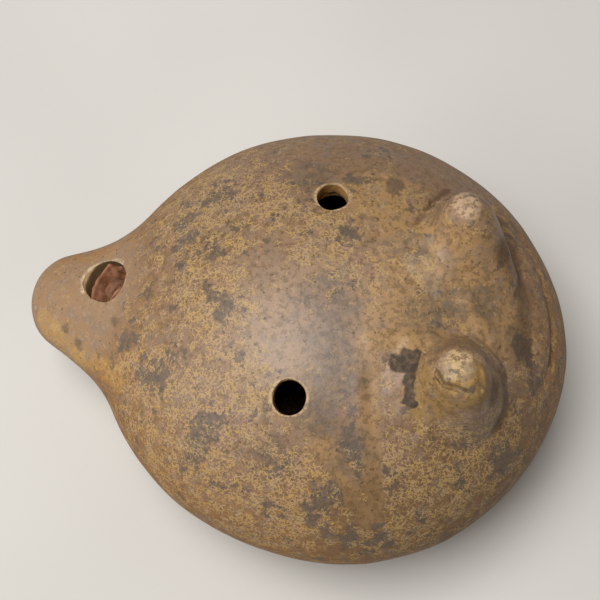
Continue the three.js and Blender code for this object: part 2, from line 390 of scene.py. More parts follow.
class Paint:
    """Builds one procedural material; lengths are in millimetres."""

    def __init__(self, name, roughness, specular=0.4):
        self.material = bpy.data.materials.new(name)
        self.material.use_nodes = True
        self.tree = self.material.node_tree
        self.shader = self.tree.nodes["Principled BSDF"]
        self.shader.inputs["Specular IOR Level"].default_value = specular
        self.shader.inputs["Roughness"].default_value = roughness
        self.place = self.new("ShaderNodeTexCoord").outputs["Object"]

    def new(self, kind, **settings):
        made = self.tree.nodes.new(kind)
        for key, value in settings.items():
            setattr(made, key, value)
        return made

    def feed(self, socket, value):
        if isinstance(value, bpy.types.NodeSocket):
            self.tree.links.new(value, socket)
        else:
            socket.default_value = value

    def noise(self, size, detail=3, rough=0.55, place=None, warp=0, output="Fac"):
        made = self.new("ShaderNodeTexNoise")
        self.feed(made.inputs["Vector"], place or self.place)
        self.feed(made.inputs["Scale"], 1 / (size * MM))
        self.feed(made.inputs["Detail"], detail)
        self.feed(made.inputs["Roughness"], rough)
        self.feed(made.inputs["Distortion"], warp)
        return made.outputs[output]

    def vector(self, operation, a, b):
        made = self.new("ShaderNodeVectorMath", operation=operation)
        self.feed(made.inputs[0], a)
        self.feed(made.inputs["Scale" if operation == "SCALE" else 1], b)
        return made.outputs["Value" if operation in ("DISTANCE", "DOT_PRODUCT") else "Vector"]

    def moved(self, by):
        """The place moved aside, so that two noises of like size differ."""
        return self.vector("ADD", self.place, (by * MM, -by * MM, 2 * by * MM))

    def math(self, operation, a, b=0.0, c=0.0):
        made = self.new("ShaderNodeMath", operation=operation)
        for socket, value in zip(made.inputs, (a, b, c)):
            self.feed(socket, value)
        return made.outputs[0]

    def band(self, value, low, high, to_low=0.0, to_high=1.0):
        made = self.new("ShaderNodeMapRange", interpolation_type="SMOOTHSTEP", clamp=True)
        for socket, number in zip(made.inputs, (value, low, high, to_low, to_high)):
            self.feed(socket, number)
        return made.outputs[0]

    def mix(self, amount, a, b, blend="MIX"):
        made = self.new("ShaderNodeMix", data_type="RGBA", blend_type=blend)
        self.feed(made.inputs[0], amount)
        self.feed(made.inputs[6], a)
        self.feed(made.inputs[7], b)
        return made.outputs[2]

    def tint(self, colour, mask, share, shade):
        """The colour mixed with a shade where the mask is 1, by a share."""
        return self.mix(self.math("MULTIPLY", mask, share), colour, shade)

    def shifted(self, size, amount):
        """The place moved about by noise, so that masks get ragged edges."""
        shift = self.vector("SUBTRACT", self.noise(size, 4, 0.5, output="Color"), (0.5, 0.5, 0.5))
        return self.vector("ADD", self.place, self.vector("SCALE", shift, 2 * amount * MM))

    def spot(self, place, centre, radius, soft):
        """1 within the radius of a point in millimetres, fading out over the soft edge."""
        far = self.vector("DISTANCE", place, tuple(MM * float(c) for c in centre))
        return self.band(far, radius * MM, (radius + soft) * MM, 1.0, 0.0)

    def stroke(self, place, start, end, radius, soft):
        """1 within the radius of a straight stroke, fading out over the soft edge."""
        start, run = np.asarray(start) * MM, (np.asarray(end) - np.asarray(start)) * MM
        from_start = self.vector("SUBTRACT", place, tuple(start))
        clamp = self.new("ShaderNodeClamp")
        self.feed(clamp.inputs[0], self.vector("DOT_PRODUCT", from_start, tuple(run / (run @ run))))
        nearest = self.vector("SCALE", tuple(run), clamp.outputs[0])
        far = self.vector("DISTANCE", from_start, nearest)
        return self.band(far, radius * MM, (radius + soft) * MM, 1.0, 0.0)

    def blend(self, first, *others, base=0.0):
        """first + base + each other value times its share."""
        total = self.math("ADD", first, base)
        for value, share in others:
            total = self.math("MULTIPLY_ADD", value, share, total)
        return total

    def most(self, *masks):
        total = masks[0]
        for mask in masks[1:]:
            total = self.math("MAXIMUM", total, mask)
        return total

    def bumps(self, *layers):
        """Bump layers of (height, distance in millimetres, strength)."""
        normal = None
        for height, distance, strength in layers:
            made = self.new("ShaderNodeBump")
            self.feed(made.inputs["Height"], height)
            made.inputs["Distance"].default_value = distance * MM
            made.inputs["Strength"].default_value = strength
            if normal is not None:
                self.feed(made.inputs["Normal"], normal)
            normal = made.outputs[0]
        self.feed(self.shader.inputs["Normal"], normal)

    def finish(self, colour, roughness):
        self.feed(self.shader.inputs["Base Color"], colour)
        self.feed(self.shader.inputs["Roughness"], roughness)
        return self.material


EARTH = srgb(132, 104, 76)
MAUVE = srgb(130, 103, 84)
UMBER = srgb(96, 73, 48)
SLATE = srgb(80, 73, 66)
GOLD = srgb(188, 154, 88)
CREAM = srgb(180, 152, 108)
OCHRE = srgb(152, 119, 62)
TAN = srgb(162, 128, 85)
LOW_SIDE_SHADE_TINT = srgb(255, 222, 134)
ROSE = srgb(142, 110, 90)
RUST = srgb(88, 54, 33)
SHADE_BROWN = srgb(74, 54, 34)
CHAR = srgb(52, 41, 34)
STAIN = srgb(88, 74, 60)
LILAC = srgb(150, 127, 110)
ASHEN = srgb(122, 106, 94)
BLUSH = srgb(180, 152, 122)
AMBER = srgb(168, 122, 66)
KNOB_SHADE_TINT = srgb(222, 186, 130)
HIGHLIGHT_TINT = srgb(172, 148, 128)
PIT = srgb(60, 45, 32)
BUFF = srgb(205, 172, 130)
CHIPS_AND_HIGHLIGHT = srgb(206, 190, 162)

# Marks of fire, soot and wear, and patches of painted light and shade, as plan position and radius.
GILDED = [
    (-12, 12, 8), (-13, -2, 6), (-7, -9, 5), (-21, -20, 8), (-15, -28, 8), (-8, -20, 6), (17, 3, 4),
    (28, -26, 8), (24, -33, 7), (-42, -9, 4), (7, -33, 6), (-20, 17, 7), (5, 7, 6), (35, -18, 7),
    (-1, -36, 7),
]
CALM = [
    (2, -6, 5), (27, 6, 5), (24, 10, 4), (2, 27, 5), (20, 29, 4), (14, 12, 2), (9, -18, 4),
    (18, 0, 4), (33, 4, 4), (36, 12, 3), (9, -5, 3), (-5, 4, 2),
]
CLOUDS = [
    (-16.5, 6, 2.4), (-19, 7, 1.8), (-21, 13.5, 2.2), (-16, 18, 2.2), (7.5, 22.5, 1.4),
    (7.5, 10.5, 1.4), (-12, -5, 1.6), (-11.5, -28, 2.2), (-21, -16, 2.8), (-10, -24, 2.2),
    (11, -32.5, 3), (8.5, -31, 2), (16, -26.5, 2.2), (15.5, -30, 1.2), (14.5, -23, 1.4),
    (3, -35.5, 2), (20.5, -36.5, 1.2), (15, -37, 1.6), (41, -1.5, 2), (44, -5, 1.5),
    (40, -20, 2.2), (-27.5, -11, 1.6),
]
HAZES = [
    (7, -2, 3.5), (9.5, -13.5, 3.2), (7.5, -20, 2), (25, 1, 3), (23, -1.5, 2.2), (19, 9.5, 1.4),
    (32.5, 4, 1.2), (-1.5, 22, 2.6), (7, -8, 2.4), (14, -25, 2), (2, -28, 2),
]
# Lighter tan round the knobs: partly the clay's tan, partly painted light.
TAN_AND_LIGHT = [(22, 8, 7), (33, 3, 5), (18, -2, 5), (14, 18, 4)]
STAINS = [
    (14.3, 22.9, 1.3), (14.1, 21.2, 0.7), (24, 13.5, 0.7), (-38, -9.5, 0.6), (-41, -7, 0.4),
    (-31, -6.5, 0.5),
]
# Painted shade: broad darker patches on the rear of the near side.
SHADE_PATCHES = [(38, -22, 10), (31, -30, 9), (22, -34, 7)]
NECK = (-42, 0, 11)
# A painted highlight: a lighter, greyer patch where the key lamp's sheen lies.
HIGHLIGHT_SPOT = (2, -6, 5)
# Marks drawn as strokes: start, end and radius.
RUSTY = [((23.5, 25), (21, 20.7), 0.2), ((21, 20.7), (18.9, 15), 0.1)]
# Painted shade in the hollow between the knobs and the rear strip.
VALLEY_SHADE = [
    ((33.5, 21.5), (37.5, 12.5), 1.3), ((37.8, 13), (39.8, 2), 0.9), ((39, 0.5), (41, -2.5), 1.4),
    ((36, -9), (37, -14), 1.2),
]
# Painted shade along the outer groove of the rear strip.
CREASES = [
    ((35, 22), (38.5, 18.6), 0.5), ((38.5, 18.6), (42, 13.2), 0.5), ((42, 13.2), (44.8, 6.5), 0.5),
    ((44.8, 6.5), (45.8, -1), 0.5),
]
SMEARS = [
    ((9.4, -24.6), (18.4, -34), 1), ((13.5, -8), (16.4, -21.3), 1.2),
    ((16.4, -21.3), (19.6, -33.3), 1.1), ((17, -6.9), (25, -4.6), 1.3),
]
SCORCHES = [  # start, end, radius, height over the surface
    ((19.4, -10), (23, -9.6), 1.5, 0.5), ((20.6, -8.9), (22, -9), 1.3, 0.3),
    ((21.6, -11), (21.7, -13), 1.2, 1), ((21.7, -13), (21.9, -15.4), 1.2, 0.7),
]
EDGES = [  # rubbed rims of the mouthpiece: start, end, radius, colour
    ((-46, -5.5), (-38, -11), 1, GOLD), ((-38, -11), (-29, -16), 1.2, GOLD),
    ((-44, 7.5), (-32, 9.8), 1.2, AMBER),
]
# Marks on the knobs, some of them painted shade and painted highlights: knob, height over its foot,
# aside in plan, and radius.
# Painted shade at the feet of the knobs, on their rear sides.
KNOB_FOOT_SHADE = [("near", 4, 6, -1, 1.6), ("far", 4, 6.5, -2.5, 1.4)]
# Painted shade on the rear sides of the knobs.
KNOB_SHADE = [("near", 2, 7, -3, 3.5), ("near", 5, 5, -2, 2), ("far", 1, 7, -1, 1.5)]
KNOB_RUST = [("far", 10, -4.2, 1, 0.9), ("far", 10.5, 3.6, 1.5, 1)]
KNOB_YELLOW = [("near", 5, -4.5, -4, 4), ("near", 9, 1.5, -2, 3)]
# Paler tips of the knobs: partly worn bare, partly a painted highlight on the lit side.
KNOB_TIP_WEAR_AND_HIGHLIGHT = [
    ("near", 11.6, -1.4, 1.4, 2, srgb(196, 168, 126)),
    ("far", 11.6, -0.4, -0.4, 1.9, srgb(186, 156, 126)),
]


def at(x, y, lift=0):
    """The point of the worked surface over a place in plan, or a height above it."""
    p, n = over(np.float64(x), np.float64(y))
    return worked(p, n) + lift * n


def at_hole(hole):
    return over(np.float64(hole["x"]), np.float64(hole["y"]))[0]


def window_edge(degrees, grow=1.03):
    """A point on the window's rim; 90 degrees is its far side and 180 the side of the tip."""
    a, turn = np.radians(degrees), np.radians(WINDOW["skew"])
    u, v = grow * WINDOW["long"] / 2 * np.cos(a), grow * WINDOW["wide"] / 2 * np.sin(a)
    return in_window((u * np.cos(turn) - v * np.sin(turn), u * np.sin(turn) + v * np.cos(turn)), 0)


def beside_knob(name, high, dx=0, dy=0):
    """A point at a height over a knob's foot along its axis, and aside in plan."""
    place = KNOBS[name]
    foot = over(np.float64(place["x"]), np.float64(place["y"]))[0]
    return foot + high * unit(place["lean"]) + np.array([dx, dy, 0])


def spots(paint, place, marks, soft):
    """1 within any of the marks given by plan position and radius."""
    return paint.most(*[paint.spot(place, at(x, y), r, soft) for x, y, r in marks])


def strokes(paint, place, marks, soft, lift=0):
    """1 within any of the strokes, which lie at a height over the surface."""
    ends = [(at(*a, lift), at(*b, lift), r) for a, b, r in marks]
    return paint.most(*[paint.stroke(place, a, b, r, soft) for a, b, r in ends])


def knob_spots(paint, place, marks, soft):
    return paint.most(*[paint.spot(place, beside_knob(*mark[:4]), mark[4], soft) for mark in marks])


def chain(paint, place, points, radius, soft):
    """1 along a chain of points."""
    return paint.most(*[paint.stroke(place, a, b, radius, soft) for a, b in pairs(points)])


def clay():
    """Burnished, fire-clouded clay with a net of golden scale, worn through in places, with painted
    highlights and painted shade laid into its colour.
    """
    paint = Paint("burnished_clay", 0.5, 0.42)
    ragged = paint.shifted(5, 3)
    torn = paint.shifted(1.6, 1.1)
    fine_torn = paint.shifted(0.7, 0.25)
    broad = paint.noise(20, 3, 0.5)
    patches = paint.noise(3.8, 6, 0.66, paint.moved(80))
    clusters = paint.noise(2, 4, 0.6, paint.moved(120))
    mottles = paint.noise(1.7, 4, 0.6, paint.moved(160))
    grains = paint.noise(1, 5, 0.65)
    fines = paint.noise(0.75, 4, 0.62, paint.moved(20))
    height = paint.new("ShaderNodeSeparateXYZ")
    paint.feed(height.inputs[0], ragged)

    # Masks
    gilded = spots(paint, ragged, GILDED, 5)
    calm = spots(paint, ragged, CALM, 6)
    clouds = spots(paint, ragged, CLOUDS, 2.6)
    hazes = spots(paint, ragged, HAZES, 3.5)
    tan_and_light = spots(paint, ragged, TAN_AND_LIGHT, 6)
    painted_shade = spots(paint, ragged, SHADE_PATCHES, 9)
    neck = spots(paint, ragged, [NECK], 9)
    painted_highlight = spots(paint, ragged, [HIGHLIGHT_SPOT], 15)
    stains = spots(paint, torn, STAINS, 1)
    smears = strokes(paint, torn, SMEARS, 1.2)
    scorch = paint.most(*[strokes(paint, torn, [mark], 0.5, lift) for *mark, lift in SCORCHES])
    # Painted shade in the crease of the near knob's fold and in the strip's outer groove.
    crevice = chain(paint, fine_torn, [beside_knob("near", *mark) for mark in NEAR_FOLD], 0.25, 0.6)
    creases = paint.most(crevice, strokes(paint, torn, CREASES, 1, -0.5))
    rusty = strokes(paint, torn, RUSTY, 0.9, 0.4)
    rusty = paint.most(rusty, knob_spots(paint, torn, KNOB_RUST, 1.2))
    # Painted shade in the hollows beside the rear strip and at the knobs' feet.
    recess_shade = strokes(paint, ragged, VALLEY_SHADE, 2.2)
    recess_shade = paint.most(recess_shade, knob_spots(paint, torn, KNOB_FOOT_SHADE, 1.8))
    yellow = knob_spots(paint, torn, KNOB_YELLOW, 2)
    shady = knob_spots(paint, ragged, KNOB_SHADE, 3)
    rims = [paint.spot(fine_torn, at_hole(hole), HOLE_R + 0.35, 0.3) for hole in HOLES]
    # Chipped lip on the window's far and tip sides: partly bared pale clay, partly a painted highlight.
    lip = chain(paint, fine_torn, [window_edge(a) for a in range(75, 226, 30)], 0.4, 0.6)

    # Ground colour
    colour = paint.mix(paint.band(broad, 0.38, 0.62), EARTH, MAUVE)
    colour = paint.mix(paint.band(mottles, 0.5, 0.66, 0, 0.6), colour, ROSE)
    colour = paint.tint(colour, neck, 0.62, LILAC)
    # Partly the clay's tan, partly painted light round the knobs.
    colour = paint.tint(colour, tan_and_light, 0.75, TAN)
    # Painted highlight: the middle of the back made lighter and greyer.
    colour = paint.tint(colour, painted_highlight, 0.3, HIGHLIGHT_TINT)
    for start, end, radius, shade in EDGES:
        colour = paint.tint(colour, strokes(paint, torn, [(start, end, radius)], 2.2), 0.42, shade)
    # Painted shade: the lower sides made darker and warmer, less so on the mouthpiece.
    sides = paint.band(height.outputs[2], 26 * MM, 48 * MM, 1.0, 0.0)
    sides = paint.math("MULTIPLY", sides, paint.math("MULTIPLY_ADD", neck, -0.5, 1))
    colour = paint.mix(sides, colour, LOW_SIDE_SHADE_TINT, "MULTIPLY")
    # Painted shade on the knobs' rear sides.
    colour = paint.mix(shady, colour, KNOB_SHADE_TINT, "MULTIPLY")
    colour = paint.tint(colour, yellow, 0.7, OCHRE)
    colour = paint.tint(colour, smears, 0.65, TAN)
    colour = paint.mix(paint.band(grains, 0.47, 0.6, 0, 0.55), colour, UMBER)
    # Painted shade: the rear of the near side darkened with umber.
    colour = paint.tint(colour, painted_shade, 0.48, UMBER)

    # Grey clouds
    colour = paint.tint(colour, hazes, paint.band(mottles, 0.42, 0.62, 0.25, 0.65), SLATE)
    greys = paint.band(paint.noise(2.4, 4, 0.6, paint.moved(200)), 0.5, 0.62)
    share = paint.math("MULTIPLY_ADD", neck, 0.1, 0.42)
    share = paint.math("MULTIPLY", share, paint.math("SUBTRACT", 1, smears))
    colour = paint.tint(colour, greys, share, ASHEN)
    colour = paint.tint(colour, paint.band(grains, 0.47, 0.62, 0, 0.4), neck, BLUSH)
    sooty = paint.blend(patches, (clouds, 0.15), (grains, 0.3), (calm, -0.03), base=-0.16)
    ash = paint.band(paint.blend(sooty, (smears, -0.18), (neck, -0.05)), 0.57, 0.63)
    colour = paint.tint(colour, ash, paint.band(fines, 0.4, 0.6, 0.8, 0.5), SLATE)

    # The golden net: lines where a fine noise passes its middle, as wide as the clusters say
    wide = paint.blend(clusters, (gilded, 0.1), (calm, -0.12), (broad, 0.2), (ash, -0.12), base=-0.14)
    wide = paint.blend(wide, (neck, -0.1), (smears, -0.2), (yellow, -0.1))
    wide = paint.band(wide, 0.36, 0.66, 0.0, 0.055)
    off = paint.math("ABSOLUTE", paint.math("SUBTRACT", fines, 0.5))
    net = paint.band(paint.math("SUBTRACT", wide, off), -0.011, 0.011)
    tone = paint.mix(paint.band(mottles, 0.4, 0.6), GOLD, CREAM)
    colour = paint.tint(colour, net, 0.62, tone)

    # Wear, rust, stains and scorches, with painted highlights and painted shade
    speckled = paint.band(grains, 0.5, 0.56, 0.8, 0.15)
    tip_wear_and_highlights = []
    # Knob tips: worn bare clay, partly a painted highlight.
    for *where, shade in KNOB_TIP_WEAR_AND_HIGHLIGHT:
        bared_and_highlight = knob_spots(paint, torn, [where], 1.8)
        violet = paint.mix(paint.band(mottles, 0.5, 0.56, 0, 0.6), shade, ASHEN)
        colour = paint.tint(colour, bared_and_highlight, speckled, violet)
        tip_wear_and_highlights.append(bared_and_highlight)
    colour = paint.tint(colour, rusty, 0.65, RUST)
    # Painted shade in those hollows.
    colour = paint.tint(colour, recess_shade, 0.5, SHADE_BROWN)
    # Painted shade in the creases.
    colour = paint.tint(colour, creases, 0.7, SHADE_BROWN)
    colour = paint.tint(colour, stains, 0.7, STAIN)
    colour = paint.tint(colour, scorch, paint.band(grains, 0.45, 0.62, 0.94, 0.6), CHAR)
    colour = paint.tint(colour, paint.most(*rims), paint.band(fines, 0.44, 0.54, 0.15, 0.6), BUFF)
    # Pale chipped lip with a painted highlight on the window's lit side.
    colour = paint.tint(colour, lip, paint.band(fines, 0.42, 0.56, 0.15, 0.7), CHIPS_AND_HIGHLIGHT)
    pits = paint.band(paint.noise(0.8, 3, 0.6, paint.moved(60)), 0.64, 0.7)
    colour = paint.tint(colour, pits, 0.7, PIT)

    low = paint.band(height.outputs[2], 30 * MM, 46 * MM, 1.0, 0.0)
    dull = paint.most(scorch, yellow, stains, recess_shade, low, *tip_wear_and_highlights)
    rough = paint.blend(paint.band(broad, 0.3, 0.7, 0.42, 0.5), (net, 0.08), (dull, 0.25))
    paint.bumps((grains, 0.12, 0.35), (fines, 0.1, 0.4))
    return paint.finish(colour, rough)


def raw_clay():
    """Unburnished clay of the inside, with finger marks."""
    paint = Paint("raw_clay", 0.9, 0.2)
    broad = paint.noise(11, 3)
    grain = paint.noise(0.9, 5, 0.7)
    colour = paint.mix(paint.band(broad, 0.35, 0.7), srgb(120, 84, 60), srgb(88, 64, 50))
    colour = paint.mix(paint.band(grain, 0.5, 0.7, 0, 0.5), colour, srgb(150, 116, 84))
    paint.bumps((broad, 0.8, 0.5), (grain, 0.2, 0.6))
    return paint.finish(colour, paint.band(grain, 0.3, 0.7, 0.8, 0.95))


def cut_clay(name, mouth, outwards, inside):
    """The buff body bared where a hole was cut through: pale at the chipped lip, and inside in a given
    colour of painted light and shade.
    """
    paint = Paint(name, 0.85, 0.25)
    broad = paint.noise(3, 4)
    grain = paint.noise(0.6, 5, 0.7)
    level = paint.vector("DOT_PRODUCT", paint.shifted(1, 0.25), tuple(float(c) / MM for c in outwards))
    lip = float(np.dot(mouth, outwards))
    deep = paint.band(level, lip - 0.75, lip - 0.3, 1.0, 0.0)
    # The inside's colour is painted light and shade, set for each cut.
    colour = paint.mix(deep, BUFF, inside)
    colour = paint.mix(paint.band(broad, 0.4, 0.65, 0, 0.5), colour, UMBER)
    colour = paint.mix(paint.band(grain, 0.5, 0.7, 0, 0.5), colour, srgb(96, 72, 48))
    paint.bumps((broad, 0.4, 0.5), (grain, 0.15, 0.6))
    return paint.finish(colour, paint.band(grain, 0.3, 0.7, 0.75, 0.95))


def red_clay():
    """The folded brown lump of clay behind the window, with painted highlights along its ridges."""
    paint = Paint("red_clay", 0.6, 0.3)
    broad = paint.noise(1.6, 4, 0.6, warp=0.6)
    grain = paint.noise(0.4, 5, 0.7)
    torn = paint.shifted(0.8, 0.25)
    ridge_highlight = chain(paint, torn, [in_window(a) for a in RIDGE], 0.12, 0.55)
    small_ridge_highlight = chain(paint, torn, [in_window(a) for a in SMALL_RIDGE], 0.1, 0.55)
    colour = paint.mix(paint.band(broad, 0.36, 0.66), srgb(124, 80, 54), srgb(88, 57, 37))
    colour = paint.mix(paint.band(grain, 0.52, 0.68, 0, 0.4), colour, srgb(142, 98, 66))
    # Painted highlights along the ridges of the folds.
    colour = paint.tint(colour, paint.most(ridge_highlight, small_ridge_highlight), 0.55, srgb(176, 122, 88))
    paint.bumps((broad, 0.3, 0.5), (grain, 0.12, 0.6))
    return paint.finish(colour, paint.band(broad, 0.3, 0.7, 0.55, 0.75))


CLAY = clay()
RAW = raw_clay()
# Inner walls of the cuts: the far hole's is painted lit gold, the near hole's and the window's are
# painted in shade.
CUTS = {
    "far": cut_clay("cut_far", at_hole(HOLES[0]), unit(HOLES[0]["lean"]), srgb(166, 124, 72)),
    "near": cut_clay("cut_near", at_hole(HOLES[1]), unit(HOLES[1]["lean"]), srgb(120, 90, 58)),
    "window": cut_clay("cut_window", *plane_basis(WINDOW)[:2], srgb(92, 76, 50)),
}
REDDISH = red_clay()

# ---- Shells and mouthpiece --------------------------------------------------------------------
STATIONS, TURNS = ((360, 480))
INNER_STATIONS, INNER_TURNS = 110, 120  # for the chamber and the bore


def hole_tool(hole):
    """A leaning, slightly uneven bore with a worn lip and a broken inner edge."""
    p = at_hole(hole)
    axis = unit(hole["lean"])
    side = unit(np.cross([0, 1, 0], axis))
    up = np.cross(axis, side)
    depth = np.concatenate([np.linspace(-9, -4.4, 6), np.linspace(-4.2, 1.6, 46), [2.2, 3]])
    angle = np.linspace(0, 2 * np.pi, 96, endpoint=False)
    t, a = np.meshgrid(depth, angle, indexing="ij")
    ray = np.cos(a)[..., None] * side + np.sin(a)[..., None] * up
    where = p + t[..., None] * axis + HOLE_R * ray
    grow = 0.1 * noise(where, 3, hole["seed"]) + 0.05 * noise(where, 0.8, hole["seed"] + 1)
    lip = np.exp(-np.clip(-t - 0.1, 0, None) / 0.32) * np.clip(1 + t * 0.6, 0, 3)
    chips = 0.17 + 0.13 * noise(where, 1.7, hole["seed"] + 2)
    inner = ease((-t - 2.6) / 1.2) * (0.35 + 0.5 * noise(where, 2.2, hole["seed"] + 3))
    oval = 1 + 0.035 * np.sin(a) ** 2 - 0.04 * np.cos(a) ** 2
    radius = HOLE_R * oval + grow + lip * chips + inner
    rings = p + t[..., None] * axis + radius[..., None] * ray
    return skin("hole_tool", rings, p + depth[0] * axis, p + depth[-1] * axis, CUTS[hole["name"]])


def window_tool():
    """The oval voicing window, cut square to the surface."""
    p, n, e1, e2 = plane_basis(WINDOW)
    depth = np.concatenate([np.linspace(-5.5, -3.2, 5), np.linspace(-3, 1.4, 30), [2, 3.5]])
    angle = np.linspace(0, 2 * np.pi, 128, endpoint=False)
    t, a = np.meshgrid(depth, angle, indexing="ij")
    turn = np.radians(WINDOW["skew"])
    u = WINDOW["long"] / 2 * np.cos(a)
    v = WINDOW["wide"] / 2 * np.sin(a)
    square = 1 + 0.035 * np.sin(2 * a) ** 2
    turned_u = square * (u * np.cos(turn) - v * np.sin(turn))
    turned_v = square * (u * np.sin(turn) + v * np.cos(turn))
    where = p + t[..., None] * n + turned_u[..., None] * e1 + turned_v[..., None] * e2
    grow = 0.975 + 0.02 * noise(where, 3, 31) + 0.012 * noise(where, 0.9, 32)
    lip = np.exp(-np.clip(-t - 0.1, 0, None) / 0.3) * np.clip(1 + t * 0.6, 0, 3)
    grow = grow + lip * (0.035 + 0.03 * noise(where, 1.6, 33))
    wide, long = (grow * turned_v)[..., None] * e2, (grow * turned_u)[..., None] * e1
    rings = p + t[..., None] * n + long + wide
    return skin("window_tool", rings, p + depth[0] * n, p + depth[-1] * n, CUTS["window"])


def slit_tool():
    """The flat air passage that rises from the tip, under the roof of the bore, to the window."""
    rise = np.radians(WINDWAY["rise"])
    roof = over(np.float64(BORE_X), np.float64(0))[0][2] - MOUTH_WALL / np.cos(rise)
    x = (SLIT_FROM_X - BORE_X, SLIT_TO_X - BORE_X)
    y = (-WINDWAY["wide"] / 2, WINDWAY["wide"] / 2)
    z = (-WINDWAY["high"], 0)
    corners = np.array([(a, b, c) for c in z for b in y for a in x], float)
    turned = corners @ np.array(Matrix.Rotation(-rise, 3, "Y")).T
    points = turned + [BORE_X, WINDOW["y"] / 2, roof]
    return mesh_object("slit_tool", points, BOX_FACES, CUTS["window"])


def make_shells():
    """Both shells and the mouthpiece, cut from one body, and the bore for the windway block."""
    whole = body("whole", 0, STATIONS, TURNS, CLAY, True)
    floor_plane = box_tool("floor_tool", (0, 0, 0), (0, 0, -1), CLAY)
    cut(whole, floor_plane, "DIFFERENCE")
    chamber = body("chamber_tool", WALL, INNER_STATIONS, INNER_TURNS, RAW, False)
    above = box_tool("above_tool", SEAM_POINT, SEAM_NORMAL, RAW)
    behind = box_tool("behind_tool", (NECK_X, 0, 0), (1, 0, 0), RAW)
    bowl = cut(copy_of(whole, "bowl"), behind, "INTERSECT")
    cut(bowl, chamber, "DIFFERENCE")
    upper = cut(copy_of(bowl, "upper_shell_clay"), above, "INTERSECT")
    lower = cut(copy_of(bowl, "lower_shell_clay"), above, "DIFFERENCE")
    for hole in HOLES:
        tool = hole_tool(hole)
        cut(upper, tool, "DIFFERENCE")
        discard(tool)
    mouth = cut(copy_of(whole, "mouthpiece_clay"), behind, "DIFFERENCE")
    bore = body("bore_tool", MOUTH_WALL, INNER_STATIONS, INNER_TURNS, RAW, False)
    front = box_tool("front_tool", (BORE_X, 0, 0), (1, 0, 0), RAW)
    cut(bore, front, "INTERSECT")
    window = window_tool()
    slit = slit_tool()
    for tool in (bore, window, slit):
        cut(mouth, tool, "DIFFERENCE")
    discard(whole, floor_plane, chamber, above, behind, bowl, front, window, slit)
    return upper, lower, mouth, bore


upper, lower, mouth, bore = make_shells()


# ---- Windway block ---------------------------------------------------------------------------
def block_height(u, v):
    """The folded lump under the window: level of its top over places in the window's plane."""
    places = np.stack([u, v, 0 * u], -1)
    top = BLOCK_TOP + 0.25 * noise(places, 2.2, 41) + 0.12 * noise(places, 0.8, 42)
    for points, width, high in BLOCK_FOLDS:
        away = np.full(u.shape, 99.0)
        for a, b in pairs(points):
            away = np.minimum(away, to_segment(places, (*a, 0), (*b, 0)))
        top = top + high * np.exp(-((away / width) ** 2))
    return top


def make_block(bore):
    """A folded sheet closed into a slab, and trimmed to the room of the bore and the window."""
    p, n, e1, e2 = plane_basis(WINDOW)
    u, v = np.meshgrid(np.linspace(-8, 7, 130), np.linspace(-7, 7, 120), indexing="ij")
    top = p + block_height(u, v)[..., None] * n + u[..., None] * e1 + v[..., None] * e2
    low = p - BLOCK_DEEP * n + u[..., None] * e1 + v[..., None] * e2
    rows, columns = u.shape
    points = np.vstack([top.reshape(-1, 3), low.reshape(-1, 3)])
    i, j = (a.ravel() for a in np.meshgrid(np.arange(rows - 1), np.arange(columns - 1), indexing="ij"))
    here, after = i * columns + j, (i + 1) * columns + j
    quads = np.stack([here, after, after + 1, here + 1], -1)
    faces = quads.tolist() + (quads[:, ::-1] + rows * columns).tolist()
    edge = [(a, 0) for a in range(rows)]
    edge += [(rows - 1, b) for b in range(1, columns)]
    edge += [(a, columns - 1) for a in range(rows - 2, -1, -1)]
    edge += [(0, b) for b in range(columns - 2, 0, -1)]
    ids = [a * columns + b for a, b in edge]
    for a, b in zip(ids, ids[1:] + ids[:1]):
        faces.append((b, a, a + rows * columns, b + rows * columns))
    block = mesh_object("windway_block_clay", points, faces, REDDISH)
    room = copy_of(bore, "room_tool")
    window = window_tool()
    cut(room, window, "UNION")
    cut(block, room, "INTERSECT")
    rear = box_tool("rear_tool", (BLOCK_END_X, 0, 0), (1, 0, 0), REDDISH)
    front = box_tool("front_tool", (BORE_X, 0, 0), (-1, 0, 0), REDDISH)
    for end in (rear, front):
        cut(block, end, "DIFFERENCE")
    discard(room, window, rear, front)
    return block


block = make_block(bore)
discard(bore)


# ---- Rear seam strip ---------------------------------------------------------------------------
STRIP_TUCK = 1.6  # how far it reaches below the skin


def make_strip():
    """The strip of clay pressed over the joint at the rear, with a soft crown and tucked edges."""
    headings = np.linspace(STRIP["start"], STRIP["end"], 300)
    a, c = np.meshgrid(np.radians(headings), np.linspace(-1, 1, 40), indexing="ij")
    bottom, top, full = strip_edges(np.degrees(a))
    s = (top + bottom) / 2 + (top - bottom) / 2 * c
    # Halving finds the distance from the bowl's middle at which the skin has the height s.
    low, high = np.full(a.shape, 20.0), np.full(a.shape, 41.4)
    for _ in range(HALVINGS):
        r = (low + high) / 2
        p = over(BOWL_X + r * np.cos(a), r * np.sin(a))[0]
        outside = seam_place(p)[1] < s
        low, high = np.where(outside, low, r), np.where(outside, r, high)
    p, n = over(BOWL_X + low * np.cos(a), low * np.sin(a))
    crown = np.where(c < 0, 0.3 * (1 - np.abs(c) ** 2.6) - c**10, 0.3 - 0.82 * ease(c))
    lift = broad_relief(p) + full**0.5 * (crown + 0.12 * noise(p, 3.5, 8)) - (1 - full**0.5) * 0.2
    outer = p + lift[..., None] * n
    inner = p - STRIP_TUCK * n
    rings = np.concatenate([outer, inner[:, ::-1]], axis=1)
    first, last = rings[0].mean(axis=0), rings[-1].mean(axis=0)
    return skin("rear_seam_strip_clay", rings[:, ::-1], first, last, CLAY)


strip = make_strip()


# ---- Knobs and the clay smeared round their feet -----------------------------------------------
def smooth_max(a, b, k):
    h = np.clip(0.5 + 0.5 * (a - b) / k, 0, 1)
    return a * h + b * (1 - h) + k * h * (1 - h)


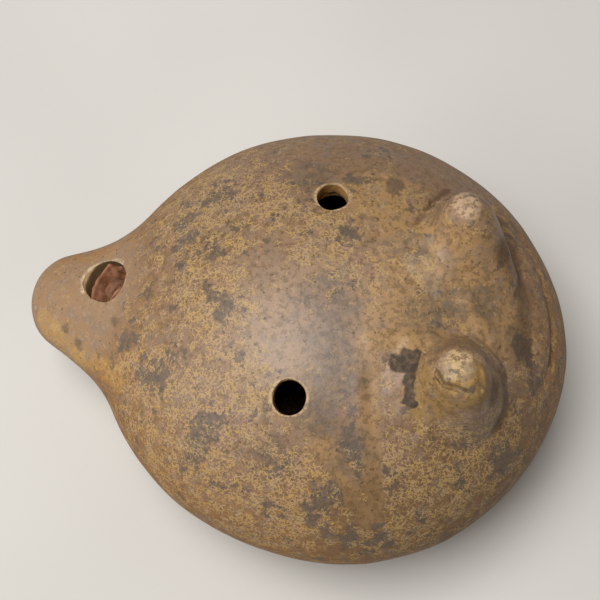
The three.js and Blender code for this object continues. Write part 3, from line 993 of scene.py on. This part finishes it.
def knob_profile(place, rho):
    """Round tip and cone of a knob: height over the plane of its foot at a radius."""
    tip, slope = place["tip"], place["slope"]
    turn_over = tip * np.sin(np.arctan(slope))
    cap = KNOB_HIGH - tip + np.sqrt(np.clip(tip**2 - rho**2, 0, None))
    cone = KNOB_HIGH - tip + np.sqrt(tip**2 - turn_over**2) - slope * (rho - turn_over)
    return np.where(rho < turn_over, cap, cone)


def drop_on_body(base, axis):
    """Where lines along the axis through the base points meet the outside."""
    low, high = np.full(base.shape[:-1], -22.0), np.full(base.shape[:-1], 12.0)
    for _ in range(HALVINGS):
        t = (low + high) / 2
        q = base + t[..., None] * axis
        x = np.clip(q[..., 0], -49.9, 49.9)
        y = np.clip(q[..., 1], -half_size(x, PLAN), half_size(x, PLAN))
        inside = q[..., 2] < over(x, y)[0][..., 2]
        low, high = np.where(inside, t, low), np.where(inside, high, t)
    q = base + low[..., None] * axis
    return over(q[..., 0], q[..., 1])


# Folds of a knob: points as height over the foot and aside in plan, half-width, height or depth.
KNOB_FOLDS = {
    "near": [
        (NEAR_FOLD, 0.6, -0.8),
        ([(9.9, 2.4, -2.2), (9.4, 3.4, -1.8)], 0.7, -0.45),
        ([(8.6, -3.4, -2.8), (8.8, -0.4, -4)], 0.8, 0.35),
        ([(10, 3, 0.6), (8.6, 3.6, -2.4)], 0.6, 0.4),
        ([(5.4, -4.6, -3.6), (5, -1.5, -5.4)], 1.4, 0.6),
    ],
    "far": [
        ([(9.6, -3.4, -0.6), (8.6, -2.8, -3.4)], 0.7, -0.4),
        ([(8, 1.8, -3.6), (4.6, 1.2, -5.6)], 1.3, 0.45),
    ],
}


def make_knob(name, place):
    """A knob and, as a second piece, the fillet of clay smeared round its foot."""
    foot = beside_knob(name, 0)
    axis = unit(place["lean"])
    skirt = np.array([*place["skirt"], 0.0])
    front = unit(skirt - axis * (skirt @ axis))
    side = np.cross(axis, front)
    tip_rho, flank_rho = np.linspace(0.15, 5, 34), np.linspace(5.12, KNOB_R, 26)
    knob_rho = np.concatenate([tip_rho, flank_rho])
    last = len(knob_rho) - 1  # the ring at which the knob ends and the fillet begins
    share = np.linspace(0.02, 1, 58)
    phi = np.linspace(0, 2 * np.pi, 168, endpoint=False)
    facing = ((1 + np.cos(phi)) / 2) ** 2  # 1 before the knob, 0 behind it
    reach = KNOB_REACH[0] + (KNOB_REACH[1] - KNOB_REACH[0]) * facing
    r = np.vstack([knob_rho[:, None] + 0 * phi, KNOB_R + share[:, None] * (reach - KNOB_R)])
    ray = np.cos(phi)[:, None] * front + np.sin(phi)[:, None] * side
    p, n = drop_on_body(foot + r[..., None] * ray, axis)
    ground = worked(p, n)
    wobble = 1 + 0.05 * np.sin(2 * phi + 1) + 0.03 * np.sin(3 * phi)
    high = knob_profile(place, r * wobble) - (ground - foot) @ axis
    mound_high = KNOB_MOUND[0] + (KNOB_MOUND[1] - KNOB_MOUND[0]) * facing
    mound = mound_high * ease(1 - (r - 5) / (reach - 5))
    soft = place["soft"] * (1 - facing) + SKIRT_SOFT * facing
    bump = smooth_max(high, mound, soft) * ease((reach - r) / (1.4 + 1.4 * facing))
    fade = ease((reach - r) / 3)
    for fold, width, depth in KNOB_FOLDS[name]:
        marks = [beside_knob(name, *mark) for mark in fold]
        surface = ground + bump[..., None] * axis
        away = np.min([to_segment(surface, a, b) for a, b in pairs(marks)], axis=0)
        bump = bump + depth * np.exp(-((away / width) ** 2)) * fade * (1 + 0.7 * noise(surface, 1.5, 53))
    for size, amount, seed in ((3.6, 0.34, 51), (1.3, 0.13, 52)):  # lumps left by the hands
        bump = bump + amount * noise(ground + bump[..., None] * axis, size, seed) * fade
    top = ground + bump[..., None] * axis
    top[-1] = top[-1] - 0.06 * n[-1]  # the rim dips under the skin
    under = ground - KNOB_TUCK * n
    rings = np.concatenate([top[:last + 1], under[last:last + 1]])
    knob = skin(f"knob_{name}_clay", rings, top[0].mean(axis=0), under[last].mean(axis=0), CLAY)
    fillet = ring_skin(f"knob_{name}_fillet", np.concatenate([top[last:], under[last:][::-1]]), CLAY)
    return knob, fillet


knobs = {name: make_knob(name, place) for name, place in KNOBS.items()}

# ---- Frame -----------------------------------------------------------------------------------
pieces = [
    (upper, "burnished_clay", "upper_shell"),
    (lower, "burnished_clay", "lower_shell"),
    (mouth, "burnished_clay", "mouthpiece"),
    (strip, "burnished_clay", "rear_seam_strip"),
    (block, "red_clay", "windway_block"),
]
for name, (knob, fillet) in knobs.items():
    pieces += [(knob, "worn_clay", f"knob_{name}"), (fillet, "burnished_clay", f"knob_{name}_coil")]
for piece, slot, node in pieces:
    smooth(piece)
    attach(piece, "root")
    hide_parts(node)
for node in ("inner_seam_coil", "inner_neck_coil"):
    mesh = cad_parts[node].data
    mesh.materials.clear()
    mesh.materials.append(RAW)


# ---- Floor, light and camera -------------------------------------------------------------------
FLOOR_HALF = 3000
LAMP_COLOUR = (1, 0.98, 0.95)
LAMP_AIM = (0, 0, 0.02)  # metres
LAMPS = [  # name, place in metres, size in metres, power in watts
    ("key", (-0.18, -0.07, 0.78), 0.4, 6.05),
    ("side", (-0.62, -0.3, 0.38), 0.5, 2.2),
]
WORLD_COLOUR, WORLD_STRENGTH = (1, 0.97, 0.93, 1), 0.17
CAMERA_PLACE, CAMERA_AIM = (12.39, -71.04, 247.44), (0.17, 7.1, 25.5)
CAMERA_LENS, CAMERA_ROLL = 75, 0.94  # millimetres, degrees


def make_floor():
    paint = Paint("floor", 0.9, 0.1)
    wide = paint.band(paint.noise(120, 2), 0.3, 0.7)
    material = paint.finish(paint.mix(wide, srgb(208, 206, 202), srgb(200, 198, 194)), 0.9)
    sides = (-FLOOR_HALF, FLOOR_HALF)
    corners = [(x, y, 0) for y in sides for x in sides]
    mesh_object("floor", corners, [(0, 1, 3, 2)], material)


def add_lamp(name, place, size, power):
    data = bpy.data.lights.new(name, "AREA")
    data.size = size
    data.energy = power
    data.color = LAMP_COLOUR
    lamp = bpy.data.objects.new(name, data)
    lamp.location = place
    lamp.rotation_euler = (Vector(LAMP_AIM) - Vector(place)).to_track_quat("-Z", "Y").to_euler()
    bpy.context.scene.collection.objects.link(lamp)


def add_camera():
    data = bpy.data.cameras.new("camera")
    data.lens = CAMERA_LENS
    data.clip_start = 0.01
    camera = bpy.data.objects.new("camera", data)
    place, aim = Vector(CAMERA_PLACE) * MM, Vector(CAMERA_AIM) * MM
    level = (aim - place).to_track_quat("-Z", "Y")
    roll = Quaternion((0, 0, 1), np.radians(CAMERA_ROLL))
    camera.location = place
    camera.rotation_euler = (level @ roll).to_euler()
    bpy.context.scene.collection.objects.link(camera)
    bpy.context.scene.camera = camera


make_floor()
for settings in LAMPS:
    add_lamp(*settings)
world = bpy.data.worlds.new("studio")
world.use_nodes = True
background = world.node_tree.nodes["Background"]
background.inputs["Color"].default_value = WORLD_COLOUR
background.inputs["Strength"].default_value = WORLD_STRENGTH
bpy.context.scene.world = world
bpy.context.scene.view_settings.view_transform = "Standard"
add_camera()

bpy.context.view_layer.update()
